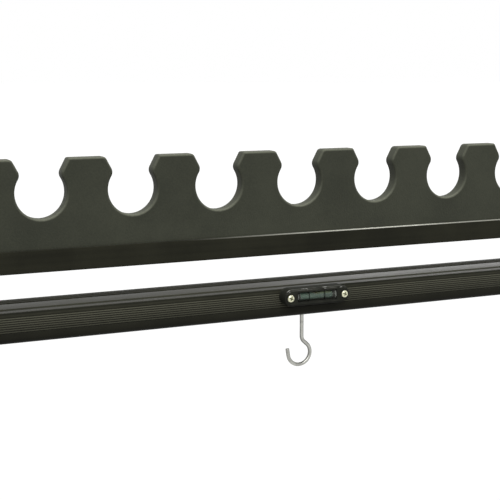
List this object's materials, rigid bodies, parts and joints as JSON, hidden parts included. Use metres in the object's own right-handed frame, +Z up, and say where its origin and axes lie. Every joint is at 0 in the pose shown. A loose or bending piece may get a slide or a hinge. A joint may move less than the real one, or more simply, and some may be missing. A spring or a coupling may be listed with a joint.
{
  "type": "rod stand",
  "caption": "Folding stand with a notched foam comb above a ribbed beam; it holds rods or pole sections, with a level, a hook and telescopic legs.",
  "frame": {"origin": "centre of the stand at the level of the floor, under the beam's middle", "axes": "+X along the bars, to the right as seen from the side with the spirit level; -Y is that front side; +Z up"},
  "size_m": [0.7496, 0.2232, 0.3969],
  "materials": {
    "foam": "matt closed-cell foam, die cut",
    "black_aluminium": "black anodised, satin",
    "bare_aluminium": "natural anodised, satin",
    "gloss_black_plastic": "moulded, glossy",
    "black_nylon": "moulded, fine texture",
    "bright_steel": "bright plated steel",
    "vial_glass": "clear, polished",
    "green_liquid": "clear green liquid",
    "bubble_air": "bubble",
    "foot_rubber": "matt moulded rubber"
  },
  "bodies": {
    "root": {"foam_comb": "foam", "comb_rail": "black_aluminium", "main_beam": "black_aluminium", "end_bracket_left": "black_nylon", "end_bracket_right": "black_nylon", "bracket_screws": "bright_steel", "rail_screws": "bright_steel", "pivot_bolts": "bright_steel", "level_housing": "gloss_black_plastic", "level_vial": "vial_glass", "level_liquid": "green_liquid", "level_bubble": "bubble_air", "level_end_plugs": "gloss_black_plastic", "level_screws": "bright_steel", "hook_bush": "gloss_black_plastic"},
    "hook": {"wire_hook": "bright_steel", "hook_nut": "bright_steel"},
    "leg_pair_left": {"leg_head_left": "black_nylon", "outer_tube_front_left": "black_aluminium", "outer_tube_back_left": "black_aluminium", "clamp_collar_front_left": "black_nylon", "clamp_collar_back_left": "black_nylon"},
    "fold_knob_left": {"fold_knob_left": "black_nylon"},
    "inner_leg_front_left": {"inner_tube_front_left": "bare_aluminium", "hinge_plug_front_left": "black_nylon"},
    "foot_front_left": {"foot_front_left": "foot_rubber", "foot_pin_front_left": "bright_steel"},
    "clamp_knob_front_left": {"clamp_knob_front_left": "black_nylon"},
    "inner_leg_back_left": {"inner_tube_back_left": "bare_aluminium", "hinge_plug_back_left": "black_nylon"},
    "foot_back_left": {"foot_back_left": "foot_rubber", "foot_pin_back_left": "bright_steel"},
    "clamp_knob_back_left": {"clamp_knob_back_left": "black_nylon"},
    "leg_pair_right": {"leg_head_right": "black_nylon", "outer_tube_front_right": "black_aluminium", "outer_tube_back_right": "black_aluminium", "clamp_collar_front_right": "black_nylon", "clamp_collar_back_right": "black_nylon"},
    "fold_knob_right": {"fold_knob_right": "black_nylon"},
    "inner_leg_front_right": {"inner_tube_front_right": "bare_aluminium", "hinge_plug_front_right": "black_nylon"},
    "foot_front_right": {"foot_front_right": "foot_rubber", "foot_pin_front_right": "bright_steel"},
    "clamp_knob_front_right": {"clamp_knob_front_right": "black_nylon"},
    "inner_leg_back_right": {"inner_tube_back_right": "bare_aluminium", "hinge_plug_back_right": "black_nylon"},
    "foot_back_right": {"foot_back_right": "foot_rubber", "foot_pin_back_right": "bright_steel"},
    "clamp_knob_back_right": {"clamp_knob_back_right": "black_nylon"}
  },
  "joints": [
    {"name": "hook_swivel", "type": "hinge", "parent": "root", "child": "hook", "pos_m": [0.0044, 0, 0.2822], "axis": [0, 0, 1], "continuous": true},
    {"name": "leg_fold_left", "type": "hinge", "parent": "root", "child": "leg_pair_left", "pos_m": [-0.3492, 0, 0.2602], "axis": [0, -1, 0], "range_deg": [0, 90]},
    {"name": "fold_knob_turn_left", "type": "hinge", "parent": "root", "child": "fold_knob_left", "pos_m": [-0.3492, -0.02255, 0.2602], "axis": [0, -1, 0], "range_deg": [0, 180]},
    {"name": "leg_slide_front_left", "type": "slide", "parent": "leg_pair_left", "child": "inner_leg_front_left", "axis": [0, 0.342, 0.9397], "range_m": [-0.05, 0.048]},
    {"name": "clamp_turn_front_left", "type": "hinge", "parent": "leg_pair_left", "child": "clamp_knob_front_left", "pos_m": [-0.3492, -0.06635, 0.0779], "axis": [-1, 0, 0], "range_deg": [0, 180]},
    {"name": "foot_tilt_front_left", "type": "hinge", "parent": "inner_leg_front_left", "child": "foot_front_left", "pos_m": [-0.3492, -0.08961, 0.014], "axis": [1, 0, 0], "range_deg": [-30, 30]},
    {"name": "leg_slide_back_left", "type": "slide", "parent": "leg_pair_left", "child": "inner_leg_back_left", "axis": [0, -0.342, 0.9397], "range_m": [-0.05, 0.048]},
    {"name": "clamp_turn_back_left", "type": "hinge", "parent": "leg_pair_left", "child": "clamp_knob_back_left", "pos_m": [-0.3492, 0.06635, 0.0779], "axis": [-1, 0, 0], "range_deg": [0, 180]},
    {"name": "foot_tilt_back_left", "type": "hinge", "parent": "inner_leg_back_left", "child": "foot_back_left", "pos_m": [-0.3492, 0.08961, 0.014], "axis": [1, 0, 0], "range_deg": [-30, 30]},
    {"name": "leg_fold_right", "type": "hinge", "parent": "root", "child": "leg_pair_right", "pos_m": [0.3492, 0, 0.2602], "axis": [0, 1, 0], "range_deg": [0, 90]},
    {"name": "fold_knob_turn_right", "type": "hinge", "parent": "root", "child": "fold_knob_right", "pos_m": [0.3492, -0.02255, 0.2602], "axis": [0, -1, 0], "range_deg": [0, 180]},
    {"name": "leg_slide_front_right", "type": "slide", "parent": "leg_pair_right", "child": "inner_leg_front_right", "axis": [0, 0.342, 0.9397], "range_m": [-0.05, 0.048]},
    {"name": "clamp_turn_front_right", "type": "hinge", "parent": "leg_pair_right", "child": "clamp_knob_front_right", "pos_m": [0.3492, -0.06635, 0.0779], "axis": [1, 0, 0], "range_deg": [0, 180]},
    {"name": "foot_tilt_front_right", "type": "hinge", "parent": "inner_leg_front_right", "child": "foot_front_right", "pos_m": [0.3492, -0.08961, 0.014], "axis": [1, 0, 0], "range_deg": [-30, 30]},
    {"name": "leg_slide_back_right", "type": "slide", "parent": "leg_pair_right", "child": "inner_leg_back_right", "axis": [0, -0.342, 0.9397], "range_m": [-0.05, 0.048]},
    {"name": "clamp_turn_back_right", "type": "hinge", "parent": "leg_pair_right", "child": "clamp_knob_back_right", "pos_m": [0.3492, 0.06635, 0.0779], "axis": [1, 0, 0], "range_deg": [0, 180]},
    {"name": "foot_tilt_back_right", "type": "hinge", "parent": "inner_leg_back_right", "child": "foot_back_right", "pos_m": [0.3492, 0.08961, 0.014], "axis": [1, 0, 0], "range_deg": [-30, 30]}
  ]
}
